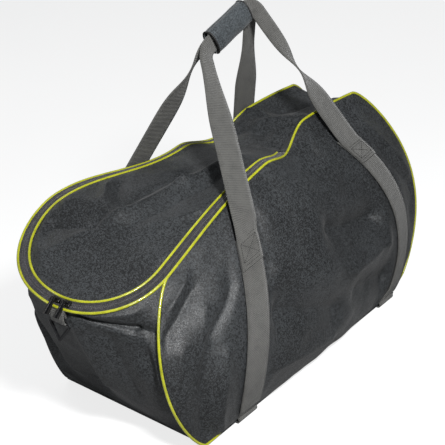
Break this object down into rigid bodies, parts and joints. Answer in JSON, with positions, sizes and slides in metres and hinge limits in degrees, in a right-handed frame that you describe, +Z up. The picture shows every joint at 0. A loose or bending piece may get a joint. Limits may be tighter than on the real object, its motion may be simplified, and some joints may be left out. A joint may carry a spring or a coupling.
{
  "type": "skate bag",
  "caption": "Soft zipped carry bag for a pair of skates: piped charcoal cloth body with a U-shaped lid, webbing girth straps, two handles joined by a wrap, and an end tab with a ring.",
  "frame": {"origin": "centre of the bounding box in plan, on the plane the straps under the bag rest on", "axes": "+X along the bag from the low zipped near end to the tall far end, +Y towards the back side, +Z up"},
  "size_m": [0.6193, 0.313, 0.4601],
  "materials": {
    "charcoal_cloth": "coated 600-denier weave, faint sheen",
    "yellow_piping": "satin yellow-green cord cover",
    "grey_webbing": "ribbed flat webbing",
    "zip_tape": "fine woven tape",
    "black_nylon": "nylon coil",
    "black_metal": "black lacquered zinc, worn edges",
    "slate_cloth": "smooth slate cloth with stitched edge",
    "grey_board": "plain stiffener board"
  },
  "bodies": {
    "shell": {"front_side_panel": "charcoal_cloth", "back_side_panel": "charcoal_cloth", "near_end_panel": "charcoal_cloth", "far_end_panel": "charcoal_cloth", "rear_top_panel": "charcoal_cloth", "bottom_panel": "charcoal_cloth", "base_board": "grey_board", "front_side_piping": "yellow_piping", "back_side_piping": "yellow_piping", "mouth_piping": "yellow_piping", "mouth_zip_tape": "zip_tape", "mouth_zip_coil": "black_nylon", "near_girth_strap": "grey_webbing", "far_girth_strap": "grey_webbing", "end_tab": "grey_webbing"},
    "lid": {"lid_panel": "charcoal_cloth", "lid_piping": "yellow_piping", "lid_zip_tape": "zip_tape", "lid_zip_coil": "black_nylon"},
    "front_handle_body": {"front_handle": "grey_webbing", "wrap_base": "slate_cloth"},
    "back_handle_body": {"back_handle": "grey_webbing"},
    "wrap_flap_body": {"wrap_flap": "slate_cloth", "wrap_hook_strip": "black_nylon"},
    "front_slider_body": {"front_slider": "black_metal"},
    "back_slider_body": {"back_slider": "black_metal"},
    "front_pull_body": {"front_slider_pull": "black_metal"},
    "back_pull_body": {"back_slider_pull": "black_metal"},
    "ring_body": {"tab_ring": "black_metal"}
  },
  "joints": [
    {"name": "front_handle_swing", "type": "hinge", "parent": "shell", "child": "front_handle_body", "pos_m": [0.04158, -0.10227, 0.24149], "axis": [0.974, 0.1451, 0.1737], "range_deg": [0, 150]},
    {"name": "back_handle_swing", "type": "hinge", "parent": "shell", "child": "back_handle_body", "pos_m": [0.03467, 0.10409, 0.24572], "axis": [0.9798, -0.1554, 0.1261], "range_deg": [-150, 0]},
    {"name": "wrap_flap_open", "type": "hinge", "parent": "front_handle_body", "child": "wrap_flap_body", "pos_m": [0.04119, 0, 0.44737], "axis": [0.9272, 0, 0.3746], "range_deg": [0, 150]},
    {"name": "lid_open", "type": "hinge", "parent": "shell", "child": "lid", "pos_m": [0.058, 0, 0.2734], "axis": [0, 1, 0], "range_deg": [0, 100]},
    {"name": "front_slider_travel", "type": "hinge", "parent": "lid", "child": "front_slider_body", "pos_m": [-0.21009, -0.01325, 0.23032], "axis": [-0.2961, -0.3031, 0.9058], "range_deg": [0, 38]},
    {"name": "back_slider_travel", "type": "hinge", "parent": "lid", "child": "back_slider_body", "pos_m": [-0.1871, -0.00687, 0.23184], "axis": [0.2343, 0.2804, -0.9309], "range_deg": [0, 54]},
    {"name": "front_pull_swing", "type": "hinge", "parent": "front_slider_body", "child": "front_pull_body", "pos_m": [-0.28682, -0.03669, 0.2055], "axis": [-0.2691, 0.9376, 0.2204], "range_deg": [0, 150]},
    {"name": "back_pull_swing", "type": "hinge", "parent": "back_slider_body", "child": "back_pull_body", "pos_m": [-0.29065, -0.02338, 0.20863], "axis": [-0.2691, 0.9376, 0.2204], "range_deg": [0, 150]},
    {"name": "ring_swing", "type": "hinge", "parent": "shell", "child": "ring_body", "pos_m": [-0.29033, -0.02235, 0.17511], "axis": [-0.2137, 0.9489, 0.2323], "range_deg": [0, 100]}
  ],
  "couplings": [
    {"joint": "back_handle_swing", "follows": "front_handle_swing", "ratio": -1},
    {"joint": "wrap_flap_open", "follows": "front_handle_swing", "ratio": 1},
    {"joint": "lid_open", "follows": "front_handle_swing", "ratio": 0.66667}
  ]
}
